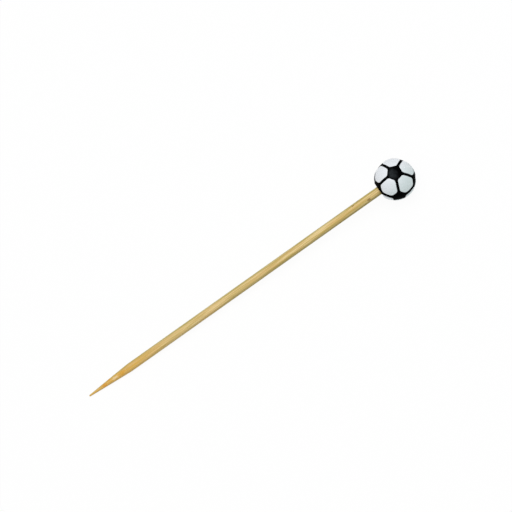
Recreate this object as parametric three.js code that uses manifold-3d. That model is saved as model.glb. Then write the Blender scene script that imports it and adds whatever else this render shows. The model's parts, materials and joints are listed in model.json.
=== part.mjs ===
// Bamboo cocktail pick with a football bead.
// A round bamboo stick, sharpened at one end, carries a small white ball at the other. The ball has
// raised white panels, and black enamel fills the sunk pentagons and the seams between them. The
// stick is glued into a blind bore, and the ball is cut flat round the bore's mouth.
// Sizes are in millimetres. The pick lies as it does on a table, on the ball and on the stick where
// its point begins, with the tip towards -X. The origin is on the table, below the middle of the pick.

import * as THREE from 'three';
import { mergeVertices } from 'three/addons/utils/BufferGeometryUtils.js';
import Module from 'manifold-3d';

const wasm = await Module();
wasm.setup();

// Driving dimensions: the whole pick and its stick
const PICK_LENGTH = 120; // from the tip to the head of the ball
const STICK_DIAMETER = 2.65;
const POINT_LENGTH = 15;
const TIP_DIAMETER = 0.5; // the sharpened end is a little blunt
const POINT_BULGE = 0.03; // how far the point stands out from a straight cone, half way along
const STICK_END_GAP = 0.4; // from the stick's end to the floor of the bore
const STICK_END_CHAMFER = 0.2;

// Driving dimensions: the ball
const BALL_DIAMETER = 12.8;
const MOUTH_LAND = 1.2; // width of the flat ring round the mouth of the bore
const HEAD_WALL = 3.2; // from the floor of the bore to the head of the ball
const RECESS_DEPTH = 0.5; // from the ball's surface to the floor under the enamel
const PANEL_EDGE = 0.16; // width of the eased edge round each white panel
const PANEL_EDGE_DROP = 0.08; // height of that eased edge

// Driving dimensions: the football pattern, as angles about the ball's centre, in degrees
const RING_ANGLE = 78.3; // from the pole pentagon to the five pentagons round it
const BACK_RING_ANGLE = 124; // from the pole pentagon to the five smaller pentagons behind
const PENTAGON_CORNER_ANGLE = 24.8; // a pentagon's centre to its corner, at both poles and in the ring
const BACK_CORNER_ANGLE = 19.5; // the same on the five smaller pentagons
const CORNER_SOFTNESS = 3.7; // how far the panels' corners are rounded
const SEAM_WIDTH = 0.86; // millimetres, between two white panels
const BAND_SEAM_WIDTH = 1.6; // the same, between the first and the second band of panels
const BAND_SEAM_FRONT = 0.6; // how much of that seam lies on the first band's side
const PATTERN_LEAN = 11.3; // the pole pentagon's lean from the top of the ball towards the head
const PATTERN_ROLL = 34; // the pattern's roll about the pole pentagon

// Driving dimensions: enamel and glue
const ENAMEL_SUNK = 0.18; // the enamel lies this far below the panels
const ENAMEL_CLEARANCE = 0.04;
const GLUE_THICKNESS = 0.2; // from the stick to the wall of the bore
const GLUE_CLEARANCE = 0.03;
const GLUE_INSET = 0.35; // the glue stops this far inside the flat

// Fineness of the round shapes
const STICK_SIDES = 24;
const POINT_STEPS = 6;
const PANEL_POINTS = 24; // points round a panel's outline
const BALL_DETAIL = 4; // how often each edge of the icosahedron is divided

// Sizes that follow
const BALL_RADIUS = BALL_DIAMETER / 2;
const STICK_RADIUS = STICK_DIAMETER / 2;
const TIP_RADIUS = TIP_DIAMETER / 2;
const BORE_RADIUS = STICK_RADIUS + GLUE_THICKNESS;
const FLAT_DISTANCE = Math.sqrt(BALL_RADIUS ** 2 - (BORE_RADIUS + MOUTH_LAND) ** 2);
const TIP_DISTANCE = PICK_LENGTH - BALL_RADIUS; // from the ball's centre
const BORE_END = BALL_RADIUS - HEAD_WALL;
const STICK_END = BORE_END - STICK_END_GAP;
const CORE_RADIUS = BALL_RADIUS - RECESS_DEPTH;
const BEYOND = BALL_RADIUS; // how far cutting shapes reach past what they cut

const radians = THREE.MathUtils.degToRad;

// A geometry's vertices, merged by position, as a solid for cutting and joining
function toSolid(geometry) {
  geometry.deleteAttribute('normal');
  geometry.deleteAttribute('uv');
  const merged = mergeVertices(geometry);
  return new wasm.Manifold(new wasm.Mesh({
    numProp: 3,
    vertProperties: new Float32Array(merged.attributes.position.array),
    triVerts: new Uint32Array(merged.index.array),
  }));
}

// A solid back as a geometry
function toGeometry(solid) {
  const mesh = solid.getMesh();
  const geometry = new THREE.BufferGeometry();
  geometry.setAttribute('position', new THREE.BufferAttribute(mesh.vertProperties, 3));
  geometry.setIndex(new THREE.BufferAttribute(mesh.triVerts, 1));
  geometry.computeVertexNormals();
  return geometry;
}

// A profile of [distance along the stick's axis, radius] points, turned about the X axis
function turned(profile) {
  const points = profile.map(([along, radius]) => new THREE.Vector2(radius, along));
  return new THREE.LatheGeometry(points, STICK_SIDES).rotateZ(-Math.PI / 2);
}

function ball(radius) {
  return toSolid(new THREE.IcosahedronGeometry(radius, BALL_DETAIL));
}

// The unit direction at an angle from the pattern's pole, +Z, and a bearing about it, from +X
function direction(angle, bearing) {
  const side = new THREE.Vector3(Math.cos(radians(bearing)), Math.sin(radians(bearing)), 0);
  return onTheWay(new THREE.Vector3(0, 0, 1), side, radians(angle));
}

// The unit direction that lies at an angle from one direction, on the way to another
function onTheWay(from, to, angle) {
  const side = to.clone().addScaledVector(from, -from.dot(to)).normalize();
  return from.clone().multiplyScalar(Math.cos(angle)).addScaledVector(side, Math.sin(angle));
}

// The twelve pentagon centres, each with the angle from its centre to its corners
function pentagons() {
  const front = radians(PENTAGON_CORNER_ANGLE);
  const back = radians(BACK_CORNER_ANGLE);
  const bearings = [0, 72, 144, 216, 288];
  return {
    pole: { centre: direction(0, 0), corner: front },
    ring: bearings.map((bearing) => ({ centre: direction(RING_ANGLE, bearing), corner: front })),
    backRing: bearings.map((bearing) => (
      { centre: direction(BACK_RING_ANGLE, bearing + 36), corner: back })),
    backPole: { centre: direction(180, 0), corner: front },
  };
}

// Each white panel lies between three pentagons: five panels in each of four bands. The last inset is
// how far the panel stays from the great circle through its third pentagon's corner and its first's.
function panelPlaces() {
  const { pole, ring, backRing, backPole } = pentagons();
  const near = SEAM_WIDTH / 2;
  const far = BAND_SEAM_WIDTH - BAND_SEAM_FRONT;
  const places = [];
  for (let i = 0; i < 5; i += 1) {
    const next = (i + 1) % 5;
    places.push({ triple: [ring[next], pole, ring[i]], lastInset: BAND_SEAM_FRONT });
    places.push({ triple: [ring[i], backRing[i], ring[next]], lastInset: far });
    places.push({ triple: [backRing[i], backRing[next], ring[next]], lastInset: near });
    places.push({ triple: [backPole, backRing[next], backRing[i]], lastInset: near });
  }
  return places;
}

// A panel's six sides as planes through the ball's centre: three run along seams to the next panel,
// and three cut off the corners where the pentagons are
function makePanel({ triple, lastInset }) {
  const middle = new THREE.Vector3();
  triple.forEach(({ centre }) => middle.add(centre));
  middle.normalize();
  const corners = triple.flatMap(({ centre, corner }, i) => [
    onTheWay(centre, triple[(i + 2) % 3].centre, corner),
    onTheWay(centre, triple[(i + 1) % 3].centre, corner),
  ]);
  const insets = [0, SEAM_WIDTH / 2, 0, SEAM_WIDTH / 2, 0, lastInset];
  const sides = corners.map((corner, i) => {
    const normal = corner.clone().cross(corners[(i + 1) % 6]).normalize();
    const facing = Math.sign(normal.dot(middle));
    return { normal: normal.multiplyScalar(facing), inset: insets[i] };
  });
  const across = onTheWay(middle, corners[0], Math.PI / 2);
  return { middle, across, up: middle.clone().cross(across), sides };
}

// How far, in millimetres, a direction lies inside a panel's outline, with the corners rounded off
function depthInside(panel, point) {
  const softness = radians(CORNER_SOFTNESS) * BALL_RADIUS;
  return panel.sides.reduce((nearest, { normal, inset }) => {
    const depth = point.dot(normal) * BALL_RADIUS - inset;
    const mix = THREE.MathUtils.clamp(0.5 + (nearest - depth) / (2 * softness), 0, 1);
    return THREE.MathUtils.lerp(nearest, depth, mix) - softness * mix * (1 - mix);
  }, BALL_RADIUS);
}

function pointOnPanel(panel, angle, bearing) {
  const side = panel.across.clone().multiplyScalar(Math.cos(bearing));
  side.addScaledVector(panel.up, Math.sin(bearing));
  return panel.middle.clone().multiplyScalar(Math.cos(angle)).addScaledVector(side, Math.sin(angle));
}

// The angle from a panel's middle at which it has the wanted depth, found by halving
function angleAtDepth(panel, bearing, depth) {
  let inside = 0;
  let outside = Math.PI / 3;
  for (let step = 0; step < 30; step += 1) {
    const angle = (inside + outside) / 2;
    if (depthInside(panel, pointOnPanel(panel, angle, bearing)) > depth) inside = angle;
    else outside = angle;
  }
  return inside;
}

// A closed solid over a panel's outline. Each ring is [depth inside the outline, share of that
// way out, radius], from the top of the panel down to its foot.
function panelSolid(panel, rings) {
  const positions = [];
  const indices = [];
  const bearings = Array.from({ length: PANEL_POINTS }, (_, i) => (i / PANEL_POINTS) * 2 * Math.PI);
  const add = (point, radius) => positions.push(...point.clone().multiplyScalar(radius).toArray()) / 3 - 1;
  const top = add(panel.middle, rings[0][2]);
  rings.forEach(([depth, share, radius]) => bearings.forEach((bearing) => {
    add(pointOnPanel(panel, share * angleAtDepth(panel, bearing, depth), bearing), radius);
  }));
  const foot = add(panel.middle, rings[rings.length - 1][2]);
  const at = (ring, i) => 1 + ring * PANEL_POINTS + (i % PANEL_POINTS);
  for (let i = 0; i < PANEL_POINTS; i += 1) {
    indices.push(top, at(0, i), at(0, i + 1));
    for (let ring = 1; ring < rings.length; ring += 1) {
      indices.push(at(ring - 1, i), at(ring, i), at(ring, i + 1));
      indices.push(at(ring - 1, i), at(ring, i + 1), at(ring - 1, i + 1));
    }
    indices.push(foot, at(rings.length - 1, i + 1), at(rings.length - 1, i));
  }
  const geometry = new THREE.BufferGeometry();
  geometry.setAttribute('position', new THREE.Float32BufferAttribute(positions, 3));
  geometry.setIndex(indices);
  geometry.applyMatrix4(patternTurn());
  return toSolid(geometry);
}

// Brings the pattern to its place on the ball. The pole opposite then comes underneath, where the
// ball rests on the edges of that pentagon and rolls neither way.
function patternTurn() {
  const turn = new THREE.Euler(0, radians(PATTERN_LEAN), radians(PATTERN_ROLL));
  return new THREE.Matrix4().makeRotationFromEuler(turn);
}

// A raised white panel, with an eased edge and its foot inside the core
function raisedPanel(panel) {
  const foot = CORE_RADIUS - RECESS_DEPTH;
  return panelSolid(panel, [
    [0, 0.35, BALL_RADIUS],
    [0, 0.68, BALL_RADIUS],
    [PANEL_EDGE, 1, BALL_RADIUS],
    [0, 1, BALL_RADIUS - PANEL_EDGE_DROP],
    [0, 1, foot],
  ]);
}

// The space that a raised panel takes out of the enamel, with the enamel's clearance all round
function panelSpace(panel) {
  const foot = CORE_RADIUS - RECESS_DEPTH;
  return panelSolid(panel, [
    [-ENAMEL_CLEARANCE, 1, BALL_RADIUS + BEYOND],
    [-ENAMEL_CLEARANCE, 1, foot],
  ]);
}

// What the flat and the bore take from the ball
function flatAndBore() {
  const outside = -BALL_RADIUS - BEYOND;
  const bore = turned([[outside, 0], [outside, BORE_RADIUS], [BORE_END, BORE_RADIUS], [BORE_END, 0]]);
  const cap = new THREE.BoxGeometry(BEYOND, 4 * BALL_RADIUS, 4 * BALL_RADIUS);
  cap.translate(-FLAT_DISTANCE - BEYOND / 2, 0, 0);
  return toSolid(bore).add(toSolid(cap));
}

// White ball: a core with the raised panels grown on it
function ballBead(panels) {
  const whole = panels.reduce((solid, panel) => solid.add(raisedPanel(panel)), ball(CORE_RADIUS));
  return toGeometry(whole.subtract(flatAndBore()));
}

// Black enamel: a thin shell over the core, open where the panels stand
function blackEnamel(panels) {
  const outside = ball(BALL_RADIUS - ENAMEL_SUNK);
  const shell = outside.subtract(ball(CORE_RADIUS + ENAMEL_CLEARANCE));
  const network = panels.reduce((solid, panel) => solid.subtract(panelSpace(panel)), shell);
  return toGeometry(network.subtract(flatAndBore()));
}

// Bamboo stick: a long, slightly full point, a straight shaft and an eased head end
function bambooStick() {
  const profile = [[-TIP_DISTANCE, 0]];
  for (let step = 0; step <= POINT_STEPS; step += 1) {
    const share = step / POINT_STEPS;
    const cone = THREE.MathUtils.lerp(TIP_RADIUS, STICK_RADIUS, share);
    profile.push([-TIP_DISTANCE + share * POINT_LENGTH, cone + 4 * POINT_BULGE * share * (1 - share)]);
  }
  profile.push([STICK_END - STICK_END_CHAMFER, STICK_RADIUS]);
  profile.push([STICK_END, STICK_RADIUS - STICK_END_CHAMFER]);
  profile.push([STICK_END, 0]);
  return turned(profile);
}

// Glue sleeve: the set glue between the stick and the bore, closed over the stick's end
function glueSleeve() {
  const inner = STICK_RADIUS + GLUE_CLEARANCE;
  const outer = BORE_RADIUS - GLUE_CLEARANCE;
  const mouth = -FLAT_DISTANCE + GLUE_INSET;
  const overStick = STICK_END + GLUE_CLEARANCE;
  const floor = BORE_END - GLUE_CLEARANCE;
  return turned([
    [overStick, 0], [overStick, inner], [mouth, inner], [mouth, outer], [floor, outer], [floor, 0],
  ]);
}

function addPiece(group, name, geometry, color, roughness) {
  const material = new THREE.MeshStandardMaterial({ color, roughness, metalness: 0 });
  const mesh = new THREE.Mesh(geometry, material);
  mesh.name = name;
  group.add(mesh);
}

// The lowest point of a piece, below the ball's centre, once the pick is tipped onto its point
function lowest(geometry, angle) {
  const { array } = geometry.attributes.position;
  let low = Infinity;
  for (let i = 0; i < array.length; i += 3) {
    low = Math.min(low, array[i] * Math.sin(angle) + array[i + 2] * Math.cos(angle));
  }
  return low;
}

// The angle at which the stick and the ball touch the table together, found by halving
function lyingAngle(stick, bead) {
  let level = 0;
  let steep = Math.asin(BALL_DIAMETER / TIP_DISTANCE);
  for (let step = 0; step < 30; step += 1) {
    const angle = (level + steep) / 2;
    if (lowest(stick, angle) > lowest(bead, angle)) level = angle;
    else steep = angle;
  }
  return level;
}

const panels = panelPlaces().map(makePanel);
const stick = bambooStick();
const bead = ballBead(panels);
const pick = new THREE.Group();
addPiece(pick, 'bamboo_stick', stick, '#d7b981', 0.6);
addPiece(pick, 'ball_bead', bead, '#e8ebee', 0.35);
addPiece(pick, 'black_enamel', blackEnamel(panels), '#08090b', 0.25);
addPiece(pick, 'glue_sleeve', glueSleeve(), '#e6dfc8', 0.5);
pick.rotation.y = -lyingAngle(stick, bead);

const part = new THREE.Group();
part.add(pick);
part.updateMatrixWorld(true);
const box = new THREE.Box3().setFromObject(pick, true);
const middle = box.getCenter(new THREE.Vector3());
pick.position.set(-middle.x, -middle.y, -box.min.z);
part.updateMatrixWorld(true);

export default part;
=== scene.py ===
"""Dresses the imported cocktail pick: its bamboo stick, its football ball, the black enamel in the ball
and the glue in the bore, with the camera, lamps and floor that show it as the photograph does.
Lengths are in metres, and angles written as numbers in degrees. The pick's own frame has +X towards the
head, and is counted from the ball's centre unless a line says otherwise.
"""
import json

from math import asin, atan2, cos, exp, hypot, pi, radians, sin, sqrt

import bpy
from mathutils import Euler, Matrix, Vector


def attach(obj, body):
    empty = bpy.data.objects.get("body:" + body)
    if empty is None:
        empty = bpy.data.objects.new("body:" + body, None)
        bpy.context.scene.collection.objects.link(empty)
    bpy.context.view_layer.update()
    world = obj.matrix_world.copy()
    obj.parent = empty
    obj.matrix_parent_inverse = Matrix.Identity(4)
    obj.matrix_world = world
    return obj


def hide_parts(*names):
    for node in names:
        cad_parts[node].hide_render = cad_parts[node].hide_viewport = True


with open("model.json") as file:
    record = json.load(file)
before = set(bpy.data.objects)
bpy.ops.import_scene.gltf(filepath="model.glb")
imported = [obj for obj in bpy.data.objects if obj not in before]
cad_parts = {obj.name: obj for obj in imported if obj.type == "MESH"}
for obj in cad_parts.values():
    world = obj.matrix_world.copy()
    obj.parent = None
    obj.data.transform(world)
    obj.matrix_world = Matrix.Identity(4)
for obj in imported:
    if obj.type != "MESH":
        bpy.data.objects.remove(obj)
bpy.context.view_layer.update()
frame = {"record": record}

# Bamboo stick. One round length of split bamboo, shaved to 2.65 mm and ground to a long
# point. It is left bare, so the fibres show as fine lengthwise streaks.
# Geometry nodes draw it round its axis, with the fibres' relief on its skin.
MM = 0.001
PICK_LENGTH = 120 * MM
STICK_RADIUS = 1.325 * MM
POINT_LENGTH = 15 * MM
TIP_RADIUS = 0.25 * MM
POINT_BULGE = 0.03 * MM
STICK_END_GAP = 0.4 * MM
STICK_END_CHAMFER = 0.2 * MM
FIBRE_RELIEF = 0.03 * MM
FIBRE_WIDTH = 0.22 * MM
FIBRE_LENGTH = 14 * MM
FIBRE_ROUGHNESS = 0.55
STICK_SIDES = 72
STICK_STEPS = 400
STICK_END_RINGS = 6
CRISP_ANGLE = 38

BALL_RADIUS = 6.4 * MM
HEAD_WALL = 3.2 * MM
TIP_DISTANCE = PICK_LENGTH - BALL_RADIUS
BORE_END = BALL_RADIUS - HEAD_WALL
STICK_END = BORE_END - STICK_END_GAP

point = next(mount for mount in frame["record"]["mounts"] if mount["name"] == "point")
tip = Vector(point["pos_m"])
towards_head = -Vector(point["axis"]).normalized()
ball_centre = tip + towards_head * TIP_DISTANCE
lying_angle = asin(towards_head.z)
pick_turn = Euler((0, -lying_angle, 0))
to_table = Matrix.Translation(ball_centre) @ pick_turn.to_matrix().to_4x4()


def linear(red, green, blue):
    """A colour read from a screen, 0 to 255, as the linear values that a shader takes."""
    def channel(value):
        value /= 255
        return value / 12.92 if value <= 0.04045 else ((value + 0.055) / 1.055) ** 2.4
    return channel(red), channel(green), channel(blue), 1.0


class Nodes:
    """Adds nodes to a tree, with their inputs set or linked by name or number."""

    def __init__(self, tree):
        self.tree = tree

    def add(self, kind, inputs=None, **settings):
        """A new node. Each input is given a value, or another node's output to link to it."""
        node = self.tree.nodes.new(kind)
        for name, value in settings.items():
            setattr(node, name, value)
        for name, value in (inputs or {}).items():
            if isinstance(value, bpy.types.NodeSocket):
                self.tree.links.new(value, node.inputs[name])
            else:
                node.inputs[name].default_value = value
        return node

    def maths(self, operation, first, second=0.0, third=0.0, clamp=False):
        """What one operation makes of up to three numbers."""
        node = self.add("ShaderNodeMath", {0: first, 1: second, 2: third}, operation=operation)
        node.use_clamp = clamp
        return node.outputs[0]

    def vectors(self, operation, first, second=(0, 0, 0)):
        """What one operation makes of two vectors."""
        node = self.add("ShaderNodeVectorMath", {0: first, 1: second}, operation=operation)
        return node.outputs["Vector"]

    def length(self, vector):
        """How long a vector is."""
        node = self.add("ShaderNodeVectorMath", {0: vector}, operation="LENGTH")
        return node.outputs["Value"]

    def parts(self, vector):
        """A vector's three numbers."""
        return self.add("ShaderNodeSeparateXYZ", {0: vector}).outputs

    def joined(self, x, y, z):
        """A vector from three numbers."""
        return self.add("ShaderNodeCombineXYZ", {0: x, 1: y, 2: z}).outputs[0]

    def blend(self, share, first, second):
        """The first colour at a share of 0, the second at 1, and a mixture between."""
        node = self.add("ShaderNodeMix", {0: share, 6: first, 7: second}, data_type="RGBA")
        return node.outputs[2]

    def ramp(self, value, low, high, start=0.0, end=1.0):
        """A smooth step from start to end while the value goes from low to high."""
        node = self.add("ShaderNodeMapRange", {0: value, 1: low, 2: high, 3: start, 4: end},
                        interpolation_type="SMOOTHSTEP")
        return node.outputs[0]

    def noise(self, vector, detail=2.0, roughness=0.5):
        """Noise from 0 to 1, whose lumps are about one unit of the coordinates wide."""
        node = self.add("ShaderNodeTexNoise",
                        {"Vector": vector, "Scale": 1.0, "Detail": detail, "Roughness": roughness})
        return node.outputs["Fac"]

    def scaled(self, vector, along, across):
        """Coordinates divided by a length along the stick and one across it."""
        return self.vectors("MULTIPLY", vector, (1 / along, 1 / across, 1 / across))


def new_group(name, kind, inputs, outputs):
    """A node group with named inputs and outputs, and the identifier of each input."""
    group = bpy.data.node_groups.new(name, kind)
    sockets = {}
    for label, value_kind in inputs.items():
        socket = group.interface.new_socket(name=label, in_out="INPUT",
                                            socket_type="NodeSocket" + value_kind)
        sockets[label] = socket.identifier
    for label, value_kind in outputs.items():
        group.interface.new_socket(name=label, in_out="OUTPUT", socket_type="NodeSocket" + value_kind)
    return group, sockets


def new_material(name):
    """A material with one Principled shader, and its node adder."""
    material = bpy.data.materials.new(name)
    material.use_nodes = True
    nodes = Nodes(material.node_tree)
    return material, nodes, material.node_tree.nodes["Principled BSDF"]


# Noise seldom leaves this range.
NOISE_LOW = 0.3
NOISE_HIGH = 0.7


def dress(nodes, shader, tone, cloud, roughness, relief, strength, depth):
    """Gives a shader its colour, a roughness that follows a cloud, and a relief as bump."""
    rough = nodes.ramp(cloud, NOISE_LOW, NOISE_HIGH, *roughness)
    bump = nodes.add("ShaderNodeBump", {"Height": relief, "Strength": strength, "Distance": depth})
    nodes.tree.links.new(tone, shader.inputs["Base Color"])
    nodes.tree.links.new(rough, shader.inputs["Roughness"])
    nodes.tree.links.new(bump.outputs[0], shader.inputs["Normal"])


def pick_coordinates(nodes, origin):
    """Object coordinates turned into the pick's own frame and counted from an origin of its own."""
    place = nodes.add("ShaderNodeTexCoord").outputs["Object"]
    mapping = nodes.add("ShaderNodeMapping",
                        {"Vector": place, "Location": origin, "Rotation": pick_turn}, vector_type="TEXTURE")
    return mapping.outputs[0]


SHAFT_GOLD = linear(193, 167, 88)
SHAFT_PALE = linear(235, 209, 150)
SHAFT_PEACH = linear(220, 178, 112)
SHAFT_BROWN = linear(180, 145, 80)
POINT_GOLD = linear(226, 172, 58)
# Crown gold is painted shade: it dulls the stick's top, where the lamp's light peaks.
CROWN_SHADE_GOLD = linear(197, 166, 95)
# Shaded olive is partly the bamboo's own colour and partly painted shade on the near flank.
SHADED_OLIVE = linear(138, 124, 52)
EDGE_OLIVE = linear(170, 162, 94)
FLECK_BROWN = linear(136, 104, 52)
PITH_PALE = linear(234, 206, 154)
PITH_GOLD = linear(212, 156, 34)
PITH_ORANGE = linear(216, 148, 36)
BARE_ROUGHNESS = (0.48, 0.66)
FIBRE_BUMP = 0.5
FIBRE_BUMP_DEPTH = 0.04 * MM

# Streaks: how long and wide one is, the noise's detail and roughness, the noise's values where a streak
# begins and is full, how much it covers there, and its colour.
PALE_STREAKS = (13 * MM, 0.42 * MM, 2.0, 0.5, 0.4, 0.6, 1.0, SHAFT_PALE)
BROAD_STREAKS = (70 * MM, 1.5 * MM, 1.0, 0.5, 0.5, 0.7, 0.35, SHAFT_PALE)
PEACH_STREAKS = (7 * MM, 0.5 * MM, 2.0, 0.5, 0.5, 0.6, 0.6, SHAFT_PEACH)
FINE_STREAKS = (9 * MM, 0.11 * MM, 3.0, 0.6, 0.53, 0.68, 0.7, SHAFT_BROWN)

# Tones that follow the stick's form: where they begin and end, along the stick from the tip or sideways
# from -1 on the near side to 1 on the far side, and how much they cover at each.
POINT_REACH = (12 * MM, 32 * MM, 0.75, 0.0)
# The stick's top takes painted shade, a duller gold that tones down its lamp-lit peak.
CROWN_SHADE_REACH = (0.0, 0.45, 0.3, 0.0)
# The near flank's olive is partly the bamboo's own colour and partly painted shade, away from the lamp and
# deepening towards the ball.
NEAR_FLANK_SHADE_REACH = (-1.0, -0.42, 1.0, 0.0)
NEAR_FLANK_SHADE_DEEPENING = (10 * MM, 105 * MM, 0.35, 0.9)
FAR_FLANK_REACH = (0.1, 0.95, 0.0, 0.75)

# Flecks and pith marks. Each has its distance from the tip, its bearing round the stick, its size and its
# colour. A mark is full at its core and gone at its rim, both as shares of its size from a ragged edge.
MARK_COVER = 0.8
MARK_CORE = -0.25
MARK_RIM = 0.05
MARK_SHORTENING = 0.55
MARK_RAGGED_LENGTH = 0.9 * MM
MARK_RAGGED_WIDTH = 0.3 * MM
MARKS = ((98.5 * MM, 22, 0.55 * MM, FLECK_BROWN), (103.6 * MM, -35, 0.85 * MM, FLECK_BROWN),
         (100.4 * MM, 50, 0.5 * MM, FLECK_BROWN), (9.6 * MM, -18, 1.1 * MM, PITH_PALE),
         (12.1 * MM, -18, 1.5 * MM, PITH_GOLD), (5.6 * MM, -16, 1.2 * MM, PITH_ORANGE),
         (7.6 * MM, 34, 0.8 * MM, PITH_ORANGE))


def streaked(nodes, place, tone, streaks):
    """A tone with streaks of another colour over it, and the noise that the streaks follow."""
    length, width, detail, roughness, begins, is_full, cover, colour = streaks
    noise = nodes.noise(nodes.scaled(place, length, width), detail, roughness)
    return nodes.blend(nodes.ramp(noise, begins, is_full, 0.0, cover), tone, colour), noise


def bamboo_material():
    """Bare bamboo: long streaks of three tones, golden at the point, olive along both flanks, and painted
    shade on its top and near flank.
    """
    material, nodes, shader = new_material("bamboo")
    place = pick_coordinates(nodes, tip)
    along, across = nodes.parts(place)[:2]
    tone = streaked(nodes, place, SHAFT_GOLD, PALE_STREAKS)[0]
    tone = streaked(nodes, place, tone, BROAD_STREAKS)[0]
    tone = nodes.blend(nodes.ramp(along, *POINT_REACH), tone, POINT_GOLD)
    tone = streaked(nodes, place, tone, PEACH_STREAKS)[0]
    tone, fine = streaked(nodes, place, tone, FINE_STREAKS)
    from_axis = nodes.length(nodes.vectors("MULTIPLY", place, (0, 1, 1)))
    side = nodes.maths("DIVIDE", across, from_axis)
    # Painted shade: the stick's top, which faces the lamp, is dulled towards a plainer gold.
    top_shade = nodes.ramp(nodes.maths("ABSOLUTE", side), *CROWN_SHADE_REACH)
    tone = nodes.blend(top_shade, tone, CROWN_SHADE_GOLD)
    # Partly painted shade: the near flank, away from the lamp, turns olive, more so towards the ball.
    shade_deepening = nodes.ramp(along, *NEAR_FLANK_SHADE_DEEPENING)
    near_flank_shade = nodes.maths("MULTIPLY", nodes.ramp(side, *NEAR_FLANK_SHADE_REACH), shade_deepening)
    tone = nodes.blend(near_flank_shade, tone, SHADED_OLIVE)
    tone = nodes.blend(nodes.ramp(side, *FAR_FLANK_REACH), tone, EDGE_OLIVE)
    ragged = nodes.noise(nodes.scaled(place, MARK_RAGGED_LENGTH, MARK_RAGGED_WIDTH))
    for from_tip, around, size, colour in MARKS:
        radius = min(STICK_RADIUS, TIP_RADIUS + (STICK_RADIUS - TIP_RADIUS) * from_tip / POINT_LENGTH)
        spot = Vector((from_tip, radius * sin(radians(around)), radius * cos(radians(around))))
        away = nodes.vectors("SUBTRACT", place, spot)
        shortened = nodes.vectors("MULTIPLY", away, (MARK_SHORTENING, 1.0, 1.0))
        reach = nodes.maths("MULTIPLY_ADD", ragged, -size, nodes.length(shortened))
        mark = nodes.ramp(reach, MARK_CORE * size, MARK_RIM * size, MARK_COVER, 0.0)
        tone = nodes.blend(mark, tone, colour)
    dress(nodes, shader, tone, fine, BARE_ROUGHNESS, fine, FIBRE_BUMP, FIBRE_BUMP_DEPTH)
    return material


def stick_tree():
    """Geometry nodes that draw the stick along +Z from its tip, then lay it along its axis."""
    tree, sockets = new_group("stick", "GeometryNodeTree", {
        "Length": "Float", "Radius": "Float", "Tip Radius": "Float", "Point Length": "Float",
        "Point Bulge": "Float", "Chamfer": "Float", "Relief": "Float", "Fibre Width": "Float",
        "Fibre Length": "Float", "Sides": "Int", "Steps": "Int", "Tip": "Vector", "Turn": "Vector",
        "Material": "Material"}, {"Geometry": "Geometry"})
    nodes = Nodes(tree)
    given = nodes.add("NodeGroupInput").outputs

    # A rod with a radius of 1, so that each point's two numbers across it give its direction alone.
    rod = nodes.add("GeometryNodeMeshCylinder",
                    {"Vertices": given["Sides"], "Side Segments": given["Steps"],
                     "Fill Segments": STICK_END_RINGS, "Radius": 1.0, "Depth": given["Length"]},
                    fill_type="TRIANGLE_FAN")
    place = nodes.add("GeometryNodeInputPosition").outputs[0]
    x, y, from_middle = nodes.parts(place)
    along = nodes.maths("ADD", from_middle, nodes.maths("MULTIPLY", given["Length"], 0.5))

    # The radius widens along the point, with a slight bulge halfway, and narrows at the far end's chamfer.
    share = nodes.maths("DIVIDE", along, given["Point Length"], clamp=True)
    widening = nodes.maths("SUBTRACT", given["Radius"], given["Tip Radius"])
    cone = nodes.maths("MULTIPLY_ADD", share, widening, given["Tip Radius"])
    arch = nodes.maths("MULTIPLY", share, nodes.maths("SUBTRACT", 1.0, share))
    full = nodes.maths("MULTIPLY_ADD", arch, nodes.maths("MULTIPLY", given["Point Bulge"], 4.0), cone)
    left = nodes.maths("SUBTRACT", given["Length"], along)
    eased = nodes.maths("ADD", left, nodes.maths("SUBTRACT", given["Radius"], given["Chamfer"]))
    plain = nodes.maths("MINIMUM", full, eased)

    # The fibres' relief is noise stretched along the stick, taken off the radius.
    fibres_round = nodes.maths("DIVIDE", given["Radius"], given["Fibre Width"])
    fibres_along = nodes.maths("DIVIDE", 1.0, given["Fibre Length"])
    stretched = nodes.vectors("MULTIPLY", place, nodes.joined(fibres_round, fibres_round, fibres_along))
    fibres = nodes.noise(stretched, roughness=FIBRE_ROUGHNESS)
    radius = nodes.maths("SUBTRACT", plain, nodes.maths("MULTIPLY", fibres, given["Relief"]))
    new_place = nodes.joined(nodes.maths("MULTIPLY", x, radius), nodes.maths("MULTIPLY", y, radius), along)
    shaped = nodes.add("GeometryNodeSetPosition",
                       {"Geometry": rod.outputs["Mesh"], "Position": new_place}).outputs[0]
    laid = nodes.add("GeometryNodeTransform",
                     {"Geometry": shaped, "Translation": given["Tip"], "Rotation": given["Turn"]}).outputs[0]
    smooth = nodes.add("GeometryNodeSetShadeSmooth", {"Geometry": laid}).outputs[0]
    real = nodes.add("GeometryNodeRealizeInstances", {"Geometry": smooth}).outputs[0]
    dressed = nodes.add("GeometryNodeSetMaterial", {"Geometry": real, "Material": given["Material"]})
    nodes.add("NodeGroupOutput", {"Geometry": dressed.outputs[0]})
    return tree, sockets


def placed(name, data):
    """A new object of the scene."""
    thing = bpy.data.objects.new(name, data)
    bpy.context.scene.collection.objects.link(thing)
    return thing


def plain_mesh(thing):
    """The mesh that an object's modifiers make."""
    bpy.context.view_layer.update()
    evaluated = thing.evaluated_get(bpy.context.evaluated_depsgraph_get())
    return bpy.data.meshes.new_from_object(evaluated)


def finish_mesh(mesh, material):
    """One material on every face, smooth shading, and crisp edges where faces meet steeply."""
    mesh.materials.clear()
    mesh.materials.append(material)
    mesh.polygons.foreach_set("material_index", [0] * len(mesh.polygons))
    mesh.polygons.foreach_set("use_smooth", [True] * len(mesh.polygons))
    mesh.set_sharp_from_angle(angle=radians(CRISP_ANGLE))


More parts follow.
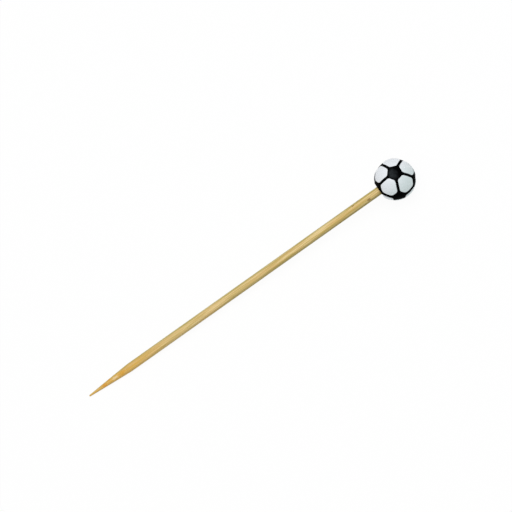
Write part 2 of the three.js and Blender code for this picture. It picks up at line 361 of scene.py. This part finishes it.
def grown(name, tree, sockets, values, mesh=None):
    """A plain mesh object that geometry nodes have made from the values of their named inputs."""
    source = placed(name + "_source", mesh or bpy.data.meshes.new(name + "_source"))
    modifier = source.modifiers.new("growth", "NODES")
    modifier.node_group = tree
    for socket, value in values.items():
        modifier[sockets[socket]] = value
    source.update_tag()
    finished = plain_mesh(source)
    finished.name = name
    finish_mesh(finished, values["Material"])
    bpy.data.objects.remove(source)
    return placed(name, finished)


stick = grown("bamboo_stick_fine", *stick_tree(), {
    "Length": TIP_DISTANCE + STICK_END, "Radius": STICK_RADIUS, "Tip Radius": TIP_RADIUS,
    "Point Length": POINT_LENGTH, "Point Bulge": POINT_BULGE, "Chamfer": STICK_END_CHAMFER,
    "Relief": FIBRE_RELIEF, "Fibre Width": FIBRE_WIDTH, "Fibre Length": FIBRE_LENGTH,
    "Sides": STICK_SIDES, "Steps": STICK_STEPS, "Tip": tip,
    "Turn": Vector((0, pi / 2 - lying_angle, 0)), "Material": bamboo_material()})
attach(stick, "root")
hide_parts("bamboo_stick")

# Football ball. A moulded ball, painted white, whose panels stand proud of sunk pentagons and seams.
# Each panel fills the space between three pentagons. Four unlike panels make one fifth of the ball,
# geometry nodes repeat that fifth round the pole, and the flat and the blind bore are then cut.
GLUE_THICKNESS = 0.2 * MM
MOUTH_LAND = 1.2 * MM
BORE_RADIUS = STICK_RADIUS + GLUE_THICKNESS
FLAT_DISTANCE = sqrt(BALL_RADIUS ** 2 - (BORE_RADIUS + MOUTH_LAND) ** 2)
RECESS_DEPTH = 0.5 * MM
PANEL_EDGE = 0.13 * MM
RING_ANGLE = 78.3
BACK_RING_ANGLE = 124
PENTAGON_CORNER_ANGLE = 24.8
BACK_CORNER_ANGLE = 19.5
CORNER_SOFT_ANGLE = 3.7
CORNER_SOFTNESS = radians(CORNER_SOFT_ANGLE) * BALL_RADIUS
SEAM_WIDTH = 0.86 * MM
BAND_SEAM_WIDTH = 1.6 * MM
BAND_SEAM_FRONT = 0.6 * MM
BORE_CHAMFER = 0.12 * MM
FIFTHS = 5
PANELS_A_FIFTH = 4
FIFTH_TURN = 360 / FIFTHS
OUTLINE_HALVINGS = 24
WELD_DISTANCE = 0.002 * MM
POINTS_A_SIDE = 32
PANEL_TOP_RINGS = 6
EDGE_RINGS = 5
BORE_SIDES = 96
PATTERN_LEAN = 11.3
PATTERN_ROLL = 34
pattern_roll = Matrix.Rotation(radians(PATTERN_ROLL), 4, "Z")
pattern_turn = Matrix.Rotation(radians(PATTERN_LEAN), 4, "Y") @ pattern_roll


def direction(angle, bearing):
    """The unit direction at an angle from the pattern's pole, +Z, and a bearing about it."""
    angle, bearing = radians(angle), radians(bearing)
    return Vector((sin(angle) * cos(bearing), sin(angle) * sin(bearing), cos(angle)))


def on_the_way(start, end, angle):
    """The unit direction at an angle from one direction, on the way to another."""
    side = (end - start * start.dot(end)).normalized()
    return start * cos(angle) + side * sin(angle)


def panel_places(fifth):
    """The three pentagons round each of a fifth's four unlike panels, as centre and corner angle, and
    how far the panel stays from the great circle through its third pentagon's corner and its first's."""
    front, back = radians(PENTAGON_CORNER_ANGLE), radians(BACK_CORNER_ANGLE)
    pole = (direction(0, 0), front)
    ring = [(direction(RING_ANGLE, FIFTH_TURN * (fifth + i)), front) for i in (0, 1)]
    back_ring = [(direction(BACK_RING_ANGLE, FIFTH_TURN * (fifth + i + 0.5)), back) for i in (0, 1)]
    back_pole = (direction(180, 0), front)
    near = SEAM_WIDTH / 2
    return (((ring[1], pole, ring[0]), BAND_SEAM_FRONT),
            ((ring[0], back_ring[0], ring[1]), BAND_SEAM_WIDTH - BAND_SEAM_FRONT),
            ((back_ring[0], back_ring[1], ring[1]), near),
            ((back_pole, back_ring[1], back_ring[0]), near))


class Panel:
    """A panel's outline on the ball: three sides run along seams and three past pentagons."""

    def __init__(self, triple, last_inset):
        self.centres = [centre for centre, corner in triple]
        self.middle = sum(self.centres, Vector()).normalized()
        corners = []
        for i, (centre, corner) in enumerate(triple):
            corners.append(on_the_way(centre, triple[(i + 2) % 3][0], corner))
            corners.append(on_the_way(centre, triple[(i + 1) % 3][0], corner))
        self.sides = []
        insets = (0, SEAM_WIDTH / 2, 0, SEAM_WIDTH / 2, 0, last_inset)
        for i in range(6):
            normal = corners[i].cross(corners[(i + 1) % 6]).normalized()
            if normal.dot(self.middle) < 0:
                normal = -normal
            self.sides.append((normal, insets[i]))

    def depth(self, spot):
        """How far a direction lies inside the outline, with the corners rounded off."""
        nearest = BALL_RADIUS
        for normal, inset in self.sides:
            depth = spot.dot(normal) * BALL_RADIUS - inset
            mix = min(1.0, max(0.0, 0.5 + (nearest - depth) / (2 * CORNER_SOFTNESS)))
            nearest += (depth - nearest) * mix - CORNER_SOFTNESS * mix * (1 - mix)
        return nearest

    def rays(self):
        """The directions on the borders with the next panels, in order round the middle."""
        for i in range(3):
            start, end = self.centres[i], self.centres[(i + 1) % 3]
            arc = start.angle(end)
            for step in range(POINTS_A_SIDE):
                yield on_the_way(start, end, arc * step / POINTS_A_SIDE)

    def angle_at(self, border, wanted):
        """The angle from the middle towards a border at which the outline's depth is as wanted."""
        inside, outside = 0.0, self.middle.angle(border)
        for step in range(OUTLINE_HALVINGS):
            angle = (inside + outside) / 2
            if self.depth(on_the_way(self.middle, border, angle)) > wanted:
                inside = angle
            else:
                outside = angle
        return inside


panels = [Panel(*place) for fifth in range(FIFTHS) for place in panel_places(fifth)]


def skin(rings, closed_at_middle, name):
    """A fifth of a skin of the ball. A ring is (depth, share, radius): the point lies on the way from
    the middle to the outline at that depth, or past it for a share over 1, which counts from the
    outline, 1, to the border, 2. The radius is a number or a function of the direction."""
    spots, faces = [], []
    for panel in panels[:PANELS_A_FIFTH]:
        borders = list(panel.rays())
        count = len(borders)
        first = len(spots)
        for depth, share, radius in rings:
            for border in borders:
                outline = panel.angle_at(border, depth)
                if share > 1:
                    outline += (panel.middle.angle(border) - outline) * (share - 1)
                else:
                    outline *= share
                spot = on_the_way(panel.middle, border, outline)
                spots.append(spot * (radius(spot) if callable(radius) else radius))
        for ring in range(len(rings) - 1):
            inner, outer = first + ring * count, first + (ring + 1) * count
            for i in range(count):
                j = (i + 1) % count
                faces.append((inner + i, outer + i, outer + j, inner + j))
        if closed_at_middle:
            middle = len(spots)
            spots.append(panel.middle * rings[0][2])
            faces += [(middle, first + i, first + (i + 1) % count) for i in range(count)]
    mesh = bpy.data.meshes.new(name)
    mesh.from_pydata(spots, [], faces)
    return mesh


def round_tree():
    """Geometry nodes that repeat a fifth of the ball's skin about +Z and weld the copies."""
    tree, sockets = new_group("round the pole", "GeometryNodeTree", {
        "Geometry": "Geometry", "Copies": "Int", "Weld": "Float", "Material": "Material"},
        {"Geometry": "Geometry"})
    nodes = Nodes(tree)
    given = nodes.add("NodeGroupInput").outputs
    seats = nodes.add("GeometryNodeMeshLine",
                      {"Count": given["Copies"], "Offset": (0, 0, 0)}).outputs[0]
    number = nodes.add("GeometryNodeInputIndex").outputs[0]
    step = nodes.maths("DIVIDE", 2 * pi, given["Copies"])
    turn = nodes.joined(0, 0, nodes.maths("MULTIPLY", number, step))
    copies = nodes.add("GeometryNodeInstanceOnPoints",
                       {"Points": seats, "Instance": given["Geometry"], "Rotation": turn}).outputs[0]
    real = nodes.add("GeometryNodeRealizeInstances", {"Geometry": copies}).outputs[0]
    welded = nodes.add("GeometryNodeMergeByDistance",
                       {"Geometry": real, "Distance": given["Weld"]}).outputs[0]
    smooth = nodes.add("GeometryNodeSetShadeSmooth", {"Geometry": welded}).outputs[0]
    dressed = nodes.add("GeometryNodeSetMaterial", {"Geometry": smooth, "Material": given["Material"]})
    nodes.add("NodeGroupOutput", {"Geometry": dressed.outputs[0]})
    return tree, sockets


def revolved(name, profile, sides):
    """A closed mesh turned about the pick's axis from (along, radius) points, ends on the axis."""
    spots = [Vector((profile[0][0], 0, 0)), Vector((profile[-1][0], 0, 0))]
    for along, radius in profile[1:-1]:
        for i in range(sides):
            angle = 2 * pi * i / sides
            spots.append(Vector((along, radius * cos(angle), radius * sin(angle))))
    rings = len(profile) - 2
    faces = []
    for i in range(sides):
        j = (i + 1) % sides
        faces.append((0, 2 + j, 2 + i))
        faces.append((1, 2 + (rings - 1) * sides + i, 2 + (rings - 1) * sides + j))
        for ring in range(rings - 1):
            low, high = 2 + ring * sides, 2 + (ring + 1) * sides
            faces.append((low + i, low + j, high + j, high + i))
    mesh = bpy.data.meshes.new(name)
    mesh.from_pydata(spots, [], faces)
    return mesh


def bored(piece):
    """Cuts the flat and the bore with its chamfer, and lays the finished piece on the table."""
    beyond = 2 * BALL_RADIUS
    profile = [(-beyond, 0), (-beyond, beyond), (-FLAT_DISTANCE, beyond),
               (-FLAT_DISTANCE, BORE_RADIUS + BORE_CHAMFER), (BORE_CHAMFER - FLAT_DISTANCE, BORE_RADIUS),
               (BORE_END, BORE_RADIUS), (BORE_END, 0)]
    cutter = placed("cutter", revolved("cutter", profile, BORE_SIDES))
    piece.data.transform(pattern_turn)
    cut = piece.modifiers.new("bore", "BOOLEAN")
    cut.object = cutter
    cut.operation = "DIFFERENCE"
    cut.solver = "MANIFOLD"
    finished = plain_mesh(piece)
    piece.modifiers.remove(cut)
    finish_mesh(finished, piece.data.materials[0])
    piece.data = finished
    finished.transform(to_table)
    bpy.data.objects.remove(cutter)


PANEL_WHITE = linear(231, 235, 240)
# The cool tone is painted shade, on the ball's side away from the lamp.
PANEL_SHADE_COOL = linear(210, 223, 224)
PANEL_CLOUD = 2.2 * MM
PANEL_PEEL = 0.12 * MM
PANEL_PEEL_BUMP = 0.12
PANEL_PEEL_DEPTH = 0.02 * MM
PANEL_ROUGHNESS = (0.36, 0.46)
SHADE_COOL_LEAN = 0.5
SHADE_COOL_RAGGED = 4 * MM
SHADE_COOL_BEGINS = 1 * MM
SHADE_COOL_IS_FULL = 8 * MM


def mottle_group():
    """A shader group with the soft clouds and the fine grain that paint and glue dry with."""
    outputs = {"Cloud": "Float", "Grain": "Float"}
    group = new_group("mottle", "ShaderNodeTree",
                      {"Place": "Vector", "Cloud Size": "Float", "Grain Size": "Float"}, outputs)[0]
    nodes = Nodes(group)
    given = nodes.add("NodeGroupInput").outputs
    patterns = {}
    for name in outputs:
        fineness = nodes.maths("DIVIDE", 1.0, given[name + " Size"])
        scaled = nodes.add("ShaderNodeVectorMath", {0: given["Place"], 3: fineness}, operation="SCALE")
        patterns[name] = nodes.noise(scaled.outputs[0])
    nodes.add("NodeGroupOutput", patterns)
    return group


mottle = mottle_group()


def mottled(nodes, place, cloud_size, grain_size):
    """The cloud and the grain at a place, each from 0 to 1."""
    node = nodes.add("ShaderNodeGroup", node_tree=mottle)
    nodes.tree.links.new(place, node.inputs["Place"])
    node.inputs["Cloud Size"].default_value = cloud_size
    node.inputs["Grain Size"].default_value = grain_size
    return node.outputs


def white_material():
    """Satin paint with painted shade, darker and cooler towards the head and the near side, away from the
    lamp, and the finest orange peel.
    """
    material, nodes, shader = new_material("white_ball")
    place = pick_coordinates(nodes, ball_centre)
    cloud, peel = mottled(nodes, place, PANEL_CLOUD, PANEL_PEEL)
    along, across = nodes.parts(place)[:2]
    # Painted shade: the panels turn darker and cooler towards the head and the near side, away from the
    # lamp.
    headward = nodes.maths("MULTIPLY_ADD", along, SHADE_COOL_LEAN, nodes.maths("MULTIPLY", across, -1.0))
    ragged = nodes.maths("MULTIPLY_ADD", cloud, SHADE_COOL_RAGGED, headward)
    tone = nodes.blend(nodes.ramp(ragged, SHADE_COOL_BEGINS, SHADE_COOL_IS_FULL), PANEL_WHITE, PANEL_SHADE_COOL)
    dress(nodes, shader, tone, cloud, PANEL_ROUGHNESS, peel, PANEL_PEEL_BUMP, PANEL_PEEL_DEPTH)
    return material


top_rings = [(PANEL_EDGE, (i + 1) / PANEL_TOP_RINGS, BALL_RADIUS) for i in range(PANEL_TOP_RINGS)]
edge_rings = []
for i in range(1, EDGE_RINGS + 1):
    turn = pi / 2 * i / EDGE_RINGS
    edge_rings.append((PANEL_EDGE * (1 - sin(turn)), 1, BALL_RADIUS - PANEL_EDGE * (1 - cos(turn))))
CORE_RADIUS = BALL_RADIUS - RECESS_DEPTH
floor_rings = [(0, 1 + share, CORE_RADIUS) for share in (0.0, 0.5, 1.0)]
round_growth, round_sockets = round_tree()
round_values = {"Copies": FIFTHS, "Weld": WELD_DISTANCE}
ball = grown("ball_bead_fine", round_growth, round_sockets, round_values | {"Material": white_material()},
             skin(top_rings + edge_rings + floor_rings, True, "panels"))
bored(ball)
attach(ball, "root")
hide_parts("ball_bead")

# Black enamel. Thick paint run into the sunk pentagons and seams. It creeps up the panels' walls as it
# dries, so that it stands higher in the narrow seams than in the middle of a pentagon.
ENAMEL_SUNK = 0.24 * MM
ENAMEL_CREEP = 0.13 * MM
ENAMEL_CREEP_WIDTH = 0.5 * MM
ENAMEL_RADIUS = BALL_RADIUS - ENAMEL_SUNK
ENAMEL_FILM = 0.004 * MM
ENAMEL_RINGS = 9
ENAMEL_RING_CROWDING = 1.5
ENAMEL_BLACK = linear(4, 4, 5)
# This grey is a painted highlight: the lamp's soft sheen on the top of the ball.
ENAMEL_PAINTED_SHEEN = linear(50, 54, 57)
ENAMEL_CLOUD = 1.6 * MM
ENAMEL_GRAIN = 0.25 * MM
ENAMEL_GRAIN_BUMP = 0.2
ENAMEL_GRAIN_DEPTH = 0.02 * MM
ENAMEL_ROUGHNESS = (0.36, 0.48)
ENAMEL_GLOSS = 0.002
HOLLOW_HEIGHT = 0.12 * MM
SHEEN_FROM_HEIGHT = 5.7 * MM
SHEEN_TO_HEIGHT = 6.2 * MM

# The cloud's values between which the painted highlight thickens, and how much it covers at each.
SHEEN_CLOUDS = (0.35, 0.65, 0.3, 1.0)


def enamel_material():
    """Deep black, with a painted grey highlight on top of the ball, in the middle of the pentagon, where the
    lamp's sheen falls.
    """
    material, nodes, shader = new_material("black_enamel")
    place = pick_coordinates(nodes, ball_centre)
    cloud, grain = mottled(nodes, place, ENAMEL_CLOUD, ENAMEL_GRAIN)
    hollow = nodes.ramp(nodes.length(place), ENAMEL_RADIUS, ENAMEL_RADIUS + HOLLOW_HEIGHT, 1.0, 0.0)
    height = nodes.parts(place)[2]
    # Painted highlight: grey in the low middle of the pentagons on top of the ball, broken up by the cloud.
    lit_top = nodes.maths("MULTIPLY", hollow, nodes.ramp(height, SHEEN_FROM_HEIGHT, SHEEN_TO_HEIGHT))
    sheen = nodes.maths("MULTIPLY", lit_top, nodes.ramp(cloud, *SHEEN_CLOUDS))
    tone = nodes.blend(sheen, ENAMEL_BLACK, ENAMEL_PAINTED_SHEEN)
    dress(nodes, shader, tone, cloud, ENAMEL_ROUGHNESS, grain, ENAMEL_GRAIN_BUMP, ENAMEL_GRAIN_DEPTH)
    shader.inputs["Specular IOR Level"].default_value = ENAMEL_GLOSS
    return material


def enamel_height(spot):
    """How far from the ball's centre the enamel stands in a direction: higher near the panels' walls."""
    creep = sum(exp(panel.depth(spot) / ENAMEL_CREEP_WIDTH) for panel in panels)
    return ENAMEL_RADIUS + ENAMEL_CREEP * creep


under_rings = [(-ENAMEL_FILM, 1 + share, CORE_RADIUS + ENAMEL_FILM) for share in (1.0, 0.5, 0.0)]
over_rings = [(-ENAMEL_FILM, 1 + (i / ENAMEL_RINGS) ** ENAMEL_RING_CROWDING, enamel_height)
              for i in range(ENAMEL_RINGS + 1)]
enamel = grown("black_enamel_fine", round_growth, round_sockets,
               round_values | {"Material": enamel_material()},
               skin(under_rings + over_rings, False, "enamel"))
bored(enamel)
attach(enamel, "root")
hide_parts("black_enamel")

# Glue sleeve. A little clear glue put in the bore before the stick is pushed in. It sets round the
# stick and over its end, sinks to a hollow rim just inside the mouth, and turns slightly yellow.
GLUE_INSET = 0.35 * MM
GLUE_HOLLOW = 0.12 * MM
GLUE_FILM = 0.01 * MM
GLUE_STEPS = 8
GLUE_ROUND = 0.15 * MM
GLUE_TONE = linear(225, 212, 170)
GLUE_CLEAR = linear(238, 231, 206)
GLUE_CLOUD = 0.5 * MM
GLUE_GRAIN = 0.1 * MM
GLUE_LUMP_BUMP = 0.4
GLUE_LUMP_DEPTH = 0.05 * MM
GLUE_ROUGHNESS = (0.3, 0.5)

# The cloud's values between which the glue goes from yellowish to clear.
GLUE_CLEARS = (0.35, 0.7)


def glue_material():
    """Set glue, slightly yellow, with a lumpy surface."""
    material, nodes, shader = new_material("set_glue")
    place = pick_coordinates(nodes, ball_centre)
    lumps = mottled(nodes, place, GLUE_CLOUD, GLUE_GRAIN)[0]
    tone = nodes.blend(nodes.ramp(lumps, *GLUE_CLEARS), GLUE_TONE, GLUE_CLEAR)
    dress(nodes, shader, tone, lumps, GLUE_ROUGHNESS, lumps, GLUE_LUMP_BUMP, GLUE_LUMP_DEPTH)
    return material


def glue_mesh():
    """A cup turned about the pick's axis, with a hollow rim at its mouth."""
    inner, outer = STICK_RADIUS + GLUE_FILM, BORE_RADIUS - GLUE_FILM
    over_stick, bore_floor = STICK_END + GLUE_FILM, BORE_END - GLUE_FILM
    profile = [(over_stick, 0), (over_stick, STICK_RADIUS - STICK_END_CHAMFER),
               (over_stick - STICK_END_CHAMFER, inner)]
    for i in range(GLUE_STEPS + 1):
        share = i / GLUE_STEPS
        hollow = 4 * GLUE_HOLLOW * share * (1 - share)
        profile.append((GLUE_INSET - FLAT_DISTANCE + hollow, inner + (outer - inner) * share))
    profile += [(bore_floor - GLUE_ROUND, outer), (bore_floor, outer - GLUE_ROUND), (bore_floor, 0)]
    mesh = revolved("glue_sleeve_fine", profile, BORE_SIDES)
    mesh.transform(to_table)
    return mesh


glue = placed("glue_sleeve_fine", glue_mesh())
finish_mesh(glue.data, glue_material())
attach(glue, "root")
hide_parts("glue_sleeve")

# Camera. It looks down on the pick from a little to the near side, so that the pattern's pole faces
# it as in the photograph, and it is turned so that the head points up to the right. The ball's centre
# and the tip sit at the photograph's pixels, which also give the scale.
PHOTO_PIXELS = 512
BALL_PIXEL = (395.03, 179.3)
TIP_PIXEL = (88.8, 396.6)
CAMERA_DISTANCE = 2.0
CAMERA_LEAN = 16.65
SENSOR_WIDTH = 36.0
NEAREST_SEEN = 0.01
FARTHEST_SEEN = 20
right, rise = BALL_PIXEL[0] - TIP_PIXEL[0], TIP_PIXEL[1] - BALL_PIXEL[1]
scale = hypot(right, rise) / (ball_centre - tip).length
image_turn = atan2(rise, right)
level = Matrix.Rotation(radians(CAMERA_LEAN), 3, "X") @ Matrix.Rotation(lying_angle, 3, "Y")
camera_turn = pick_turn.to_matrix() @ level @ Matrix.Rotation(-image_turn, 3, "Z")
to_centre = Vector((PHOTO_PIXELS / 2 - BALL_PIXEL[0], BALL_PIXEL[1] - PHOTO_PIXELS / 2, 0)) / scale
camera_data = bpy.data.cameras.new("overhead")
camera_data.sensor_width = SENSOR_WIDTH
camera_data.lens = SENSOR_WIDTH * CAMERA_DISTANCE * scale / PHOTO_PIXELS
camera_data.clip_start = NEAREST_SEEN
camera_data.clip_end = FARTHEST_SEEN
camera = placed("overhead", camera_data)
camera.location = ball_centre + camera_turn @ (to_centre + Vector((0, 0, CAMERA_DISTANCE)))
camera.rotation_euler = camera_turn.to_euler()
bpy.context.scene.camera = camera

# Floor. A plain white sheet of card that the pick lies on. It isn't part of the object.
# It keeps the pick's soft shadow and is otherwise as white as the photograph's background.
FLOOR_HALF = 1.5
FLOOR_WHITE = (0.95, 0.95, 0.95, 1)
FLOOR_ROUGHNESS = 0.9
FLOOR_GLOSS = 0.1
FLOOR_GLOW_SHARE = 0.94
floor_mesh = bpy.data.meshes.new("white_sheet")
floor_mesh.from_pydata([(-FLOOR_HALF, -FLOOR_HALF, 0), (FLOOR_HALF, -FLOOR_HALF, 0),
                        (FLOOR_HALF, FLOOR_HALF, 0), (-FLOOR_HALF, FLOOR_HALF, 0)], [], [(0, 1, 2, 3)])
floor = placed("white_sheet", floor_mesh)


def background_rays(nodes):
    """1 for the rays that have to meet plain white: the camera's, and those off gloss or through glass."""
    rays = nodes.add("ShaderNodeLightPath").outputs
    seen = nodes.maths("MAXIMUM", rays["Is Camera Ray"], rays["Is Glossy Ray"])
    return nodes.maths("MAXIMUM", seen, rays["Is Transmission Ray"])


def floor_material():
    """White card that takes the pick's shadow and, for the background's rays, glows nearly white."""
    material, nodes, shader = new_material("white_sheet")
    shader.inputs["Base Color"].default_value = FLOOR_WHITE
    shader.inputs["Roughness"].default_value = FLOOR_ROUGHNESS
    shader.inputs["Specular IOR Level"].default_value = FLOOR_GLOSS
    share = nodes.maths("MULTIPLY", background_rays(nodes), FLOOR_GLOW_SHARE)
    glow = nodes.add("ShaderNodeEmission", {"Color": (1, 1, 1, 1), "Strength": 1.0})
    mixed = nodes.add("ShaderNodeMixShader", {0: share, 1: shader.outputs[0], 2: glow.outputs[0]})
    output = nodes.tree.nodes["Material Output"]
    nodes.tree.links.new(mixed.outputs[0], output.inputs["Surface"])
    return material


floor.data.materials.append(floor_material())

# Lamps. One large soft lamp beyond the pick's far side, up and to the left in the picture, and a
# pale room all round, which the background's rays see as plain white.
KEY_SIZE = 0.7
KEY_DISTANCE = 0.9
KEY_POWER = 5.2
KEY_IN_PICTURE = Vector((-0.17, 0.36, 1.0))
ROOM_LEVEL = 0.46
key_data = bpy.data.lights.new("key", "AREA")
key_data.size = KEY_SIZE
key_data.energy = KEY_POWER
key = placed("key", key_data)
key_way = (camera_turn @ KEY_IN_PICTURE).normalized()
key.location = ball_centre + key_way * KEY_DISTANCE
key.rotation_euler = key_way.to_track_quat("Z", "Y").to_euler()

world = bpy.data.worlds.new("pale_room")
bpy.context.scene.world = world
world.use_nodes = True
room = Nodes(world.node_tree)
background = world.node_tree.nodes["Background"]
background.inputs["Color"].default_value = (1, 1, 1, 1)
strength = room.add("ShaderNodeMix", {0: background_rays(room), 2: ROOM_LEVEL, 3: 1.0},
                    data_type="FLOAT").outputs[0]
world.node_tree.links.new(strength, background.inputs["Strength"])
bpy.context.scene.view_settings.view_transform = "Standard"
